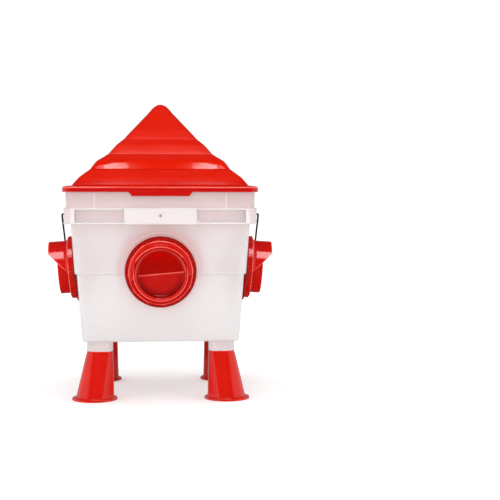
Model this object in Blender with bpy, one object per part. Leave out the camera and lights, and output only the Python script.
"""Gravity poultry feeder: square milky hopper on four flared feet, stepped pyramid lid,
wire bail, and one twist-in feeding port with a rain hood on each wall.

Origin on the ground, at the centre between the feet. +Z is up, -Y is the front, +X the right.
Sizes are in millimetres and angles in degrees; mesh_object() converts points to metres.
"""

import math

import bmesh
import bpy
from mathutils import Matrix, Vector

MM = 0.001
SEGMENTS = 32            # round the ports

# ---------------------------------------------------------------- driving dimensions
# Z_ is a height, W_ a half width, R_ a radius, U_ a distance out from the wall on a port's axis.
Z_FOOT_TOP = 76.2        # shoulder of each foot
Z_SOCKET = 76.5          # lower edge of the sockets under the hopper floor
Z_BOTTOM = 92.0          # underside of the hopper floor
Z_STEP = 197.5           # small step in the hopper wall, narrower below
Z_PORT = 202.0           # port centre
Z_BAND_LO = 276.0        # hand-hold band, underside of the lower flange
Z_BAND_HI = 300.0        # hand-hold band, top of the upper flange
Z_RIM = 330.0            # top edge of the hopper
Z_APEX = 467.3           # nominal top of the lid
WALL = 2.5               # hopper wall
SLOPE_UP = 0.066         # wall draft above the step
SLOPE_LO = 0.075         # wall draft below the step
W_BOTTOM = 121.9         # hopper at the floor
W_BAND = 138.1           # hopper under the band
W_FLANGE = 148.6         # band flanges
W_LID = 150.0
W_PORT = W_BAND - SLOPE_UP * (Z_BAND_LO - Z_PORT)
TILT = math.atan(SLOPE_UP)

CORNER_CENTRE = 132.6    # X and Y of the curved wall in each corner of the band
R_CORNER = 15.5
CORNER_WALL = 1.7

R_PORT_FLANGE = 55.2
R_GRIP_RING = 49.4
R_RIB = 50.7             # grip ribs, twelve round the ring
R_HOOD = 43.9            # rain hood sleeve, outside
R_TUBE = 41.8            # feed tube, outside
R_HOOD_BORE = R_TUBE + 0.5
R_RING_ROOT = R_TUBE - 1.2    # inside of the lower half ring, sunk into the tube
R_CHAMBER = R_TUBE - 2.4      # feed tube, inside behind the dam
R_MOUTH = 37.3
R_WINDOW = 34.4          # opening in the dam
R_BARREL = 46.0          # port barrel through the wall
R_BASE_BORE = 42.5
R_HOLE = 46.8            # hole in the hopper wall
R_GASKET_BORE = R_HOLE + 0.4
R_NUT = 56.8
R_NUT_BORE = R_BARREL + 0.7
NUT_NOTCH = 3.2
R_PAD = 60.4             # raised pad round the hole
U_TUBE = 32.4            # feed tube, outer end
U_HOOD = 46.6            # rain hood, outer end
U_SHIELD = -14.0         # inner shield, where it meets the top of the tube
SHIELD_SLOPE = 0.70      # the shield runs this far inward for each unit down
SHIELD_WALL = 2.7        # along the port axis
FRONT_TWIST = 4.9        # the front tube and hood stand this far from level
HOOD_RING_DROP = 9.0     # the hood's half ring ends this far below level
RING_GAP = 0.8           # angle between the two half rings

Z_PIVOT = 288.5          # bail pivot
R_PIVOT_HOLE = 2.0
R_WIRE = 1.5
X_ARM = 161.2            # bail arms
X_BAIL_TIP = 142.9       # hooked ends of the bail, inside the pivot holes
BAIL_TIP_LENGTH = 5.6
BAIL_LENGTH = 214.0      # pivot to crossbar
BAIL_DROP = 35.4         # bail rest angle below level, towards the back
R_GRIP = 9.0

# Foot outlines: centre in X and Y, half width, outer corner radius, chamfer of other corners
FOOT_CENTRE = 95.4       # at the top
FOOT_LOW_CENTRE = 103.1
FOOT_BASE_CENTRE = 103.6
FOOT_HALF = 20.0
FOOT_LOW_HALF = 29.2
FOOT_TOP = (FOOT_CENTRE, FOOT_HALF, 14.5, 5.5)
FOOT_LOW = (FOOT_LOW_CENTRE, FOOT_LOW_HALF, 26.4, 16.4)
SPIGOT = (FOOT_CENTRE, 16.9, 11.6, 4.2)
SPIGOT_BORE = (FOOT_CENTRE, 14.7, 9.8, 3.4)
SOCKET_BORE = (FOOT_CENTRE, 17.4, 12.0, 4.4)

IN_PLACE = Matrix()


# ---------------------------------------------------------------- scene and materials
def clear_scene():
    for item in list(bpy.data.objects):
        bpy.data.objects.remove(item, do_unlink=True)
    for blocks in (bpy.data.meshes, bpy.data.materials, bpy.data.curves):
        for block in list(blocks):
            blocks.remove(block)


def new_material(name, rgb, roughness, metallic=0.0):
    material = bpy.data.materials.new(name)
    material.use_nodes = True
    inputs = material.node_tree.nodes["Principled BSDF"].inputs
    inputs["Base Color"].default_value = (*rgb, 1.0)
    inputs["Roughness"].default_value = roughness
    inputs["Metallic"].default_value = metallic
    return material


# ---------------------------------------------------------------- parts: (points, faces) pairs
BOX_FACES = [(0, 1, 3, 2), (4, 5, 7, 6), (0, 1, 5, 4), (2, 3, 7, 6), (0, 2, 6, 4), (1, 3, 7, 5)]


def box(x0, x1, y0, y1, z0, z1):
    return [(x, y, z) for z in (z0, z1) for y in (y0, y1) for x in (x0, x1)], BOX_FACES


def loft(rings, closed=False):
    """Skin through rings of equal length, capped unless it closes on itself."""
    size = len(rings[0])
    points = [point for ring in rings for point in ring]
    faces = []
    for i in range(len(rings) if closed else len(rings) - 1):
        here, there = i * size, ((i + 1) % len(rings)) * size
        for j in range(size):
            k = (j + 1) % size
            faces.append((here + j, here + k, there + k, there + j))
    if not closed:
        faces.append(tuple(range(size)))
        faces.append(tuple(range(len(points) - size, len(points))))
    return points, faces


def lathe(profile, segments=SEGMENTS, start=0.0, sweep=360.0):
    """A closed (radius, z) profile turned about Z; a part turn has end caps."""
    full = sweep == 360.0
    rings = []
    for i in range(segments if full else segments + 1):
        angle = math.radians(start + sweep * i / segments)
        rings.append([(r * math.cos(angle), r * math.sin(angle), z) for r, z in profile])
    return loft(rings, closed=full)


def circle(radius, z, segments=SEGMENTS):
    angles = [2 * math.pi * i / segments for i in range(segments)]
    return [(radius * math.cos(angle), radius * math.sin(angle), z) for angle in angles]


def turned_solid(profile, segments=SEGMENTS):
    """A solid through circles given as (radius, z)."""
    return loft([circle(radius, z, segments) for radius, z in profile])


def square(half, radius, z, corner_steps=5):
    """A rounded square ring."""
    ring = []
    for quarter in range(4):
        centre_x = (half - radius) * (1 if quarter in (0, 3) else -1)
        centre_y = (half - radius) * (1 if quarter in (0, 1) else -1)
        for i in range(corner_steps + 1):
            angle = math.radians(90 * quarter + 90 * i / corner_steps)
            ring.append((centre_x + radius * math.cos(angle),
                         centre_y + radius * math.sin(angle), z))
    return ring


def merge(*parts):
    points, faces = [], []
    for part_points, part_faces in parts:
        first = len(points)
        points += part_points
        faces += [tuple(i + first for i in face) for face in part_faces]
    return points, faces


def moved(part, matrix):
    points, faces = part
    return [tuple(matrix @ Vector(point)) for point in points], faces


def spin(degrees):
    return Matrix.Rotation(math.radians(degrees), 4, "Z")


def spun(part, angles):
    """Copies of a part at these angles about Z."""
    return merge(*(moved(part, spin(angle)) for angle in angles))


def on_four_walls(placed):
    """(part, matrix) pairs set out at the front, then repeated on every wall."""
    return merge(*(moved(part, spin(90 * wall) @ matrix)
                   for wall in range(4) for part, matrix in placed))


def port_frame(twist=0.0, unit=1.0):
    """Front port: local X sideways, Y up the wall, Z out along the port's axis."""
    cos, sin = math.cos(TILT), math.sin(TILT)
    frame = Matrix(((1, 0, 0, 0),
                    (0, -sin, -cos, -W_PORT * unit),
                    (0, cos, -sin, Z_PORT * unit),
                    (0, 0, 0, 1)))
    return frame @ spin(twist)


# ---------------------------------------------------------------- objects
def mesh_object(name, part, material=None, frame=IN_PLACE):
    """An object from a part in millimetres, normals outward; the frame is in metres."""
    points, faces = part
    mesh = bpy.data.meshes.new(name)
    mesh.from_pydata([Vector(point) * MM for point in points], [], faces)
    edit = bmesh.new()
    edit.from_mesh(mesh)
    bmesh.ops.remove_doubles(edit, verts=edit.verts, dist=1e-6)
    bmesh.ops.recalc_face_normals(edit, faces=edit.faces)
    edit.to_mesh(mesh)
    edit.free()
    item = bpy.data.objects.new(name, mesh)
    bpy.context.scene.collection.objects.link(item)
    item.matrix_world = frame
    if material:
        mesh.materials.append(material)
    return item


def combine(target, operation, name, part, frame=IN_PLACE):
    """Add a part to the target, or cut it away, through a hidden helper object."""
    helper = mesh_object(name, part, frame=frame)
    helper.hide_render = True
    helper.display_type = "WIRE"
    modifier = target.modifiers.new(operation.lower(), "BOOLEAN")
    modifier.object = helper
    modifier.operation = operation
    modifier.solver = "EXACT"


def smooth(item, angle=35):
    item.data.shade_smooth()
    item.data.set_sharp_from_angle(angle=math.radians(angle))


# ---------------------------------------------------------------- hopper
def hopper_width(z):
    """Outer half width of the wall below the band."""
    if z >= Z_STEP:
        return W_BAND - SLOPE_UP * (Z_BAND_LO - z)
    return W_BOTTOM + SLOPE_LO * (z - Z_BOTTOM)


# Half width, corner radius, height: up the outside, then down the inside
HOPPER_SKIN = [
    (W_BOTTOM - 2.6, 8.0, Z_BOTTOM),
    (W_BOTTOM - 0.6, 9.5, Z_BOTTOM + 0.9),
    (W_BOTTOM + 0.2, 10.0, Z_BOTTOM + 3.0),
    (hopper_width(Z_STEP - 0.6), 12.0, Z_STEP - 0.6),
    (hopper_width(Z_STEP + 0.6), 13.5, Z_STEP + 0.6),
    (W_BAND, 14.0, Z_BAND_LO),
    (W_FLANGE, 16.0, Z_BAND_LO),
    (W_FLANGE, 16.0, Z_BAND_LO + 2.2),
    (W_BAND + 0.2, 14.0, Z_BAND_LO + 2.2),
    (W_BAND + 1.5, 14.0, Z_BAND_HI - 2.2),
    (W_FLANGE, 16.0, Z_BAND_HI - 2.2),
    (W_FLANGE, 16.0, Z_BAND_HI),
    (144.4, 13.5, Z_BAND_HI),
    (145.8, 14.0, Z_RIM - 0.6),
    (145.3, 13.5, Z_RIM),
    (143.7, 12.0, Z_RIM),
    (143.2, 11.5, Z_RIM - 0.6),
    (141.9, 11.0, Z_BAND_HI + 1.0),
    (W_BAND - 1.0, 11.5, Z_BAND_HI - 2.6),
    (hopper_width(Z_STEP + 2.2) - WALL, 11.0, Z_STEP + 2.2),
    (hopper_width(Z_STEP + 1.0) - WALL - 3.1, 9.5, Z_STEP + 1.0),
    (W_BOTTOM - WALL + 0.3, 7.5, Z_BOTTOM + 6.0),
    (W_BOTTOM - WALL - 2.2, 6.0, Z_BOTTOM + WALL),
]


def foot_ring(centre, half, radius, chamfer, z, arc_steps=6):
    """Outline of the rear right foot: a rounded outer corner and three flat chamfered ones."""
    low, high, arc = centre - half, centre + half, centre + half - radius
    ring = []
    for i in range(arc_steps):
        angle = math.radians(90 * i / arc_steps)
        ring.append((arc + radius * math.cos(angle), arc + radius * math.sin(angle), z))
    corners = [(arc, high), (low + chamfer, high), (low, high - chamfer), (low, low + chamfer),
               (low + chamfer, low), (high - chamfer, low), (high, low + chamfer), (high, arc)]
    for i in range(7):
        (x0, y0), (x1, y1) = corners[i], corners[i + 1]
        steps = 3 if i % 2 == 0 else 2
        for j in range(steps):
            share = j / steps
            ring.append((x0 + (x1 - x0) * share, y0 + (y1 - y0) * share, z))
    return ring


def hopper_additions():
    panel = box(-55.0, 55.0, -W_FLANGE - 0.25, -W_BAND + 1.0, Z_BAND_LO - 0.25, Z_BAND_HI + 0.25)
    gussets = [box(x - 0.8, x + 0.8, -147.2, -143.4, Z_BAND_HI - 1.0, Z_RIM - 7.0)
               for x in (-100.5, 100.5)]
    corner_web = box(-1.2, 1.2, -202.5, -190.0, Z_BAND_LO + 1.1, Z_BAND_HI - 1.1)
    socket = loft([foot_ring(*FOOT_TOP, z) for z in (Z_SOCKET, Z_BOTTOM + 1.2)])
    # the pad carries the port across the wall's step
    pad = turned_solid([(R_PAD, -4.6), (R_PAD, 0.4)])
    return on_four_walls([
        (panel, IN_PLACE),
        (gussets[0], IN_PLACE),
        (gussets[1], IN_PLACE),
        (corner_web, spin(45)),
        (socket, IN_PLACE),
        (pad, port_frame()),
    ])


def hopper_corner_walls():
    """Curved walls between the band's flanges."""
    inside, low, high = R_CORNER - CORNER_WALL, Z_BAND_LO + 1.0, Z_BAND_HI - 1.0
    wall = lathe([(inside, low), (R_CORNER, low), (R_CORNER, high), (inside, high)],
                 segments=10, start=-6.0, sweep=102.0)
    return on_four_walls([(wall, Matrix.Translation((CORNER_CENTRE, CORNER_CENTRE, 0)))])


def hopper_cuts():
    # hollows the band's centre panel from below
    panel_hollow = box(-52.6, 52.6, -W_FLANGE + 2.4, -W_BAND - 1.6,
                       Z_BAND_LO - 3.0, Z_BAND_HI - 3.2)
    socket_bore = loft([foot_ring(*SOCKET_BORE, z) for z in (Z_SOCKET - 3, Z_BOTTOM - 0.2)])
    # port hole, opening into a wider recess behind the pad
    hole = turned_solid([(R_PAD - 2.4, -14), (R_PAD - 2.4, -2.2), (R_HOLE, -2.2), (R_HOLE, 3)])
    return on_four_walls([
        (panel_hollow, IN_PLACE),
        (socket_bore, IN_PLACE),
        (hole, port_frame()),
    ])


def hopper_pivot_holes():
    """Holes through the face of each centre panel."""
    hole = turned_solid([(R_PIVOT_HOLE, 0), (R_PIVOT_HOLE, 8)], segments=12)
    hole = moved(hole, Matrix.Rotation(math.radians(90), 4, "X"))
    hole = moved(hole, Matrix.Translation((0, -W_FLANGE + 6.0, Z_PIVOT)))
    return on_four_walls([(hole, IN_PLACE)])


def build_hopper(material):
    hopper = mesh_object("hopper", loft([square(*row) for row in HOPPER_SKIN]), material)
    combine(hopper, "UNION", "hopper_adds", hopper_additions())
    combine(hopper, "UNION", "hopper_corners", hopper_corner_walls())
    combine(hopper, "DIFFERENCE", "hopper_cuts", hopper_cuts())
    combine(hopper, "DIFFERENCE", "hopper_pin_holes", hopper_pivot_holes())
    smooth(hopper, 30)


# ---------------------------------------------------------------- lid
LID_WALL = 2.3

# Half width and height, apex to first riser
LID_CROWN = [(3.0, 467.2), (8.3, 465.2), (13.5, 460.6), (20.0, 452.6), (34.0, 437.0)]

# Head and foot of each riser as (half width, height), and how far it swells outward
LID_RISERS = [
    ((45.3, 424.4), (58.3, 409.4), 0.06),
    ((69.3, 400.2), (82.2, 384.8), 0.06),
    ((98.2, 373.5), (108.9, 360.8), 0.14),
    ((125.2, 348.1), (136.2, 335.0), 0.04),
]

# Half width, corner radius, height: over the eave, up inside the skirt, round the collar
LID_EAVE = [
    (147.6, 12.5, 333.6), (149.4, 13.0, 333.0), (W_LID, 13.2, 331.6), (W_LID, 13.2, 325.0),
    (147.6, 11.5, 325.0), (147.6, 11.5, 330.4), (142.3, 10.5, 330.4), (141.5, 9.6, 309.0),
    (139.7, 8.0, 309.0), (139.4, 8.0, 331.2), (134.6, 6.8, 332.2),
]


def lid_tiers():
    """(half width, height) stations of the pyramid, from the apex down."""
    tiers = list(LID_CROWN)
    for (half0, z0), (half1, z1), bow in LID_RISERS:
        for t in (0.0, 0.5, 1.0):
            tiers.append((half0 + (half1 - half0) * t * (1 + bow - bow * t),
                          z0 + (z1 - z0) * t))
    return tiers


def hip_radius(half):
    """Corner radius of the pyramid: round at the top, crisp towards the eave."""
    return min(half, 13.0 - 5.0 * min(1.0, (half - 13.0) / 120.0))


def lid_underside(tiers):
    """The outer skin moved in along its own slope, from the eave up."""
    rings = []
    for i in range(len(tiers) - 2, 0, -1):
        (half0, z0), (half1, z1) = tiers[i - 1], tiers[i + 1]
        length = math.hypot(half1 - half0, z1 - z0)
        half = tiers[i][0] - LID_WALL * (z0 - z1) / length
        z = tiers[i][1] - LID_WALL * (half1 - half0) / length
        rings.append(square(half, hip_radius(tiers[i][0]) - 2.0, z))
    rings.append(square(1.8, 1.8, Z_APEX - 2.4))
    return rings


def lid_tab():
    """Trapezoid below the skirt: narrow at its lower edge, wide at the top."""
    points = [(side * half, y, z)
              for half, z in ((43.4, 318.8), (50.4, 327.0))
              for y in (-W_LID - 0.2, -W_LID + 2.2)
              for side in (-1, 1)]
    return points, BOX_FACES


def build_lid(material):
    tiers = lid_tiers()
    rings = [square(half, hip_radius(half), z) for half, z in tiers]
    rings += [square(*row) for row in LID_EAVE]
    lid = mesh_object("lid", loft(rings + lid_underside(tiers)), material)
    combine(lid, "UNION", "lid_tabs", on_four_walls([(lid_tab(), IN_PLACE)]))
    smooth(lid, 30)


# ---------------------------------------------------------------- feet
# Anticlockwise from the +X +Y corner
FEET = ("foot_rear_right", "foot_rear_left", "foot_front_left", "foot_front_right")


def foot_circle(radius, z):
    """A circle with its points in the same directions as the foot outline's."""
    ring = []
    for x, y, _ in foot_ring(*FOOT_LOW, 0.0):
        angle = math.atan2(y - FOOT_LOW_CENTRE, x - FOOT_LOW_CENTRE)
        ring.append((FOOT_BASE_CENTRE + radius * math.cos(angle),
                     FOOT_BASE_CENTRE + radius * math.sin(angle), z))
    return ring


def build_feet(material):
    foot = loft([
        # outside, from the spigot down to the round base
        foot_ring(*SPIGOT, Z_BOTTOM - 1.6),
        foot_ring(*SPIGOT, Z_FOOT_TOP),
        foot_ring(*FOOT_TOP, Z_FOOT_TOP),
        foot_ring(*FOOT_LOW, 4.6),
        foot_circle(34.8, 3.4),
        foot_circle(35.3, 2.9),
        foot_circle(35.3, 0.0),
        # inside, back up
        foot_ring(FOOT_LOW_CENTRE + 0.2, FOOT_LOW_HALF - 2.0, 24.4, 15.2, 0.0),
        foot_ring(FOOT_CENTRE, FOOT_HALF - 2.6, 12.4, 4.6, Z_FOOT_TOP - 2.4),
        foot_ring(*SPIGOT_BORE, Z_FOOT_TOP - 1.0),
        foot_ring(*SPIGOT_BORE, Z_BOTTOM - 3.9),
    ])
    for k, name in enumerate(FEET):
        smooth(mesh_object(name, moved(foot, spin(90 * k)), material), 20)


# ---------------------------------------------------------------- ports
SIDES = ("front", "right", "back", "left")

# Profiles are (radius, distance out from the wall)
GASKET = [(R_GASKET_BORE, 0.7), (54.2, 0.7), (54.2, 2.1), (R_GASKET_BORE, 2.1)]

PORT_BASE = [
    (R_BASE_BORE, 6.2), (54.5, 6.2), (R_PORT_FLANGE, 5.5), (R_PORT_FLANGE, 2.4),
    (R_BARREL, 2.4), (R_BARREL, -20.0), (R_BASE_BORE, -20.0), (R_BASE_BORE, -13.4),
    (44.1, -12.9), (44.1, -8.6), (R_BASE_BORE, -8.1),
]

# Outer end of the feed tube, over the lip and in to the dam
TUBE_MOUTH = [
    (R_TUBE, U_TUBE - 0.8), (R_TUBE - 0.9, U_TUBE), (R_MOUTH + 0.8, U_TUBE),
    (R_MOUTH, U_TUBE - 1.0), (35.6, 16.4), (35.2, 16.2),
]

HOOD_SLEEVE = [
    (R_HOOD_BORE, 16.0), (45.8, 16.0), (45.3, 18.0), (R_HOOD, 19.2), (R_HOOD, U_HOOD - 0.5),
    (R_HOOD - 0.5, U_HOOD), (R_HOOD_BORE, U_HOOD),
]

# Outer edge of the grip ring, shared by its tube half and its hood half
RING_EDGE = [(R_GRIP_RING - 0.6, 6.6), (R_GRIP_RING, 7.2), (R_GRIP_RING, 14.6),
             (R_GRIP_RING - 0.8, 15.4)]
TUBE_RING = [(R_RING_ROOT, 6.6), *RING_EDGE, (R_RING_ROOT, 15.4)]
HOOD_RING = [(R_HOOD_BORE, 6.6), *RING_EDGE, (45.9, 16.4), (R_HOOD_BORE, 16.4)]

# Two points (Y, distance out) on the hood's slanting edge
SLANT_TOP = (25.9, U_HOOD)
SLANT_FOOT = (-5.4, 17.6)


def grip_ribs(places):
    """Ribs at some of the twelve places round the grip ring, counted from local X."""
    rib = box(R_GRIP_RING - 2.0, R_RIB, -3.3, 3.3, 7.4, 14.4)
    return spun(rib, [30 * i for i in places])


def build_port_base(side, frame, material):
    base = mesh_object("port_base_" + side, lathe(PORT_BASE), material, frame)
    slots = spun(box(41.0, 44.3, -4.6, 4.6, -10.5, 9.0), (135, 255, 375))
    combine(base, "DIFFERENCE", "port_base_slots_" + side, slots, frame)
    return base


def build_lock_nut(side, frame, material):
    """A ring whose rim steps in and out for grip."""
    sections = []
    for i in range(SEGMENTS):
        angle = 2 * math.pi * i / SEGMENTS
        rim = R_NUT if i % 4 in (0, 1) else R_NUT - NUT_NOTCH
        profile = [(R_NUT_BORE, -13.5), (rim, -13.5), (rim, -3.1), (R_NUT_BORE, -3.1)]
        sections.append([(r * math.cos(angle), r * math.sin(angle), u) for r, u in profile])
    return mesh_object("lock_nut_" + side, loft(sections, closed=True), material, frame)


def shield_ring(radius, top):
    """A ring on the shield's slant; top is its place at the top of the chamber."""
    return [(x, y, top - SHIELD_SLOPE * (R_CHAMBER - y)) for x, y, _ in circle(radius, 0.0)]


def dam_window(steps=16):
    """The part of the dam cut away above its lip: a half disc."""
    angles = [math.pi * i / steps for i in range(steps + 1)]
    return loft([[(R_WINDOW * math.cos(angle), -1.0 + R_WINDOW * math.sin(angle), u)
                  for angle in angles] for u in (10.0, 20.0)])


def build_feed_tube(side, frame, material):
    """Mouth, dam and slanting inner shield in one moulding, with the lower half grip ring."""
    rings = [shield_ring(R_TUBE, U_SHIELD - SHIELD_WALL)]
    rings += [circle(radius, u) for radius, u in TUBE_MOUTH]
    tube = mesh_object("feed_tube_" + side, loft(rings), material, frame)

    ring_end = HOOD_RING_DROP + RING_GAP
    half_ring = lathe(TUBE_RING, segments=16, start=180 + ring_end, sweep=180 - 2 * ring_end)
    lugs = spun(box(R_TUBE - 1.0, 43.5, -3.9, 3.9, -12.4, -9.2), (90, 210, 330))
    chamber = loft([shield_ring(R_CHAMBER, U_SHIELD), circle(R_CHAMBER, 14.0)])
    # past the barrel the lower part of the tube is open
    opening = box(-60, 60, -60, -9.3, -90, -22.0)
    for operation, label, part in (
            ("UNION", "adds", merge(half_ring, lugs)),
            ("UNION", "ribs", grip_ribs(range(7, 12))),
            ("DIFFERENCE", "cuts", chamber),
            ("DIFFERENCE", "open", opening),
            ("DIFFERENCE", "window", dam_window())):
        combine(tube, operation, f"feed_tube_{label}_{side}", part, frame)
    weld = tube.modifiers.new("weld", "WELD")
    weld.merge_threshold = 0.00001
    return tube


def hood_slant_block():
    """Block that takes away everything below and outside the hood's slanting edge."""
    top, foot = Vector((0, *SLANT_TOP)), Vector((0, *SLANT_FOOT))
    along = (top - foot).normalized()
    away = Vector((0, -along.z, along.y))
    frame = Matrix(((1, along.x, away.x, top.x),
                    (0, along.y, away.y, top.y),
                    (0, along.z, away.z, top.z),
                    (0, 0, 0, 1)))
    return moved(box(-80, 80, -120, 60, 0, 90), frame)


def build_rain_hood(side, frame, material):
    """Sleeve cut on the slant, with the upper half of the grip ring at its root."""
    sleeve = lathe(HOOD_SLEEVE, start=-30, sweep=240)
    hood = mesh_object("rain_hood_" + side, sleeve, material, frame)
    half_ring = lathe(HOOD_RING, segments=18, start=-HOOD_RING_DROP,
                      sweep=180 + 2 * HOOD_RING_DROP)
    for operation, label, part in (
            ("DIFFERENCE", "slant", hood_slant_block()),
            ("UNION", "ring", half_ring),
            ("UNION", "ribs", grip_ribs(range(7)))):
        combine(hood, operation, f"rain_hood_{label}_{side}", part, frame)
    return hood


def build_ports(plastic, rubber):
    for k, side in enumerate(SIDES):
        twist = FRONT_TWIST if side == "front" else 0.0
        fixed = spin(90 * k) @ port_frame(unit=MM)
        twisted = spin(90 * k) @ port_frame(twist, MM)
        for item in (mesh_object("gasket_" + side, lathe(GASKET), rubber, fixed),
                     build_port_base(side, fixed, plastic),
                     build_lock_nut(side, fixed, plastic),
                     build_feed_tube(side, twisted, plastic),
                     build_rain_hood(side, twisted, plastic)):
            smooth(item)


# ---------------------------------------------------------------- bail
def rod(path, radius, sides=8):
    """A round rod along a path, ends capped."""
    points = [Vector(point) for point in path]
    normal = (points[1] - points[0]).normalized().orthogonal().normalized()
    rings = []
    for i, point in enumerate(points):
        before, after = points[max(i - 1, 0)], points[min(i + 1, len(points) - 1)]
        along = (after - before).normalized()
        normal = (normal - along * normal.dot(along)).normalized()
        across = along.cross(normal)
        angles = [2 * math.pi * j / sides for j in range(sides)]
        rings.append([
            tuple(point + radius * (math.cos(angle) * normal + math.sin(angle) * across))
            for angle in angles])
    return loft(rings)


def bend(before, corner, after, radius, steps):
    """Points of a fillet at a corner, at equal angles along the arc."""
    before, corner, after = Vector(before), Vector(corner), Vector(after)
    back, ahead = (before - corner).normalized(), (after - corner).normalized()
    half_angle = back.angle(ahead) / 2
    setback = radius / math.tan(half_angle)
    centre = corner + (back + ahead).normalized() * (radius / math.sin(half_angle))
    start = corner + back * setback - centre
    end = corner + ahead * setback - centre
    arc = start.angle(end)
    points = []
    for i in range(steps + 1):
        share = i / steps
        spoke = math.sin((1 - share) * arc) * start + math.sin(share * arc) * end
        points.append(tuple(centre + spoke / math.sin(arc)))
    return points


def bail_path():
    """In the bail's own plane: X across, Y along the arms, pivot line at Y = 0."""
    tip = (-X_BAIL_TIP, BAIL_TIP_LENGTH, 0)
    hook = (-X_BAIL_TIP, 0, 0)
    elbow = (-X_ARM, 0, 0)
    shoulder = (-X_ARM, BAIL_LENGTH, 0)
    middle = (0, BAIL_LENGTH, 0)
    left = [tip,
            *bend(tip, hook, elbow, radius=2.4, steps=3),
            *bend(hook, elbow, shoulder, radius=4.0, steps=4),
            *bend(elbow, shoulder, middle, radius=46.0, steps=8)]
    return left + [(-x, y, z) for x, y, z in reversed(left)]


def build_bail(wire_material, grip_material):
    frame = (Matrix.Translation((0, 0, Z_PIVOT * MM))
             @ Matrix.Rotation(math.radians(-BAIL_DROP), 4, "X"))
    smooth(mesh_object("bail_wire", rod(bail_path(), R_WIRE), wire_material, frame), 60)

    bore = R_WIRE + 0.5
    profile = [(bore, -55), (7.4, -55), (R_GRIP, -52), (R_GRIP, 52), (7.4, 55), (bore, 55)]
    grip_frame = (frame @ Matrix.Translation((0, BAIL_LENGTH * MM, 0))
                  @ Matrix.Rotation(math.radians(90), 4, "Y"))
    smooth(mesh_object("bail_grip", lathe(profile, segments=18), grip_material, grip_frame))


# ---------------------------------------------------------------- build
clear_scene()
red = new_material("red_polypropylene", rgb=(0.76, 0.020, 0.010), roughness=0.32)
milky = new_material("milky_polypropylene", rgb=(0.86, 0.84, 0.835), roughness=0.38)
steel = new_material("dark_steel_wire", rgb=(0.10, 0.095, 0.095), roughness=0.35, metallic=1.0)
pale = new_material("grip_polypropylene", rgb=(0.82, 0.81, 0.80), roughness=0.45)
black = new_material("gasket_rubber", rgb=(0.05, 0.05, 0.05), roughness=0.8)

build_hopper(milky)
build_lid(red)
build_feet(red)
build_ports(plastic=red, rubber=black)
build_bail(steel, pale)
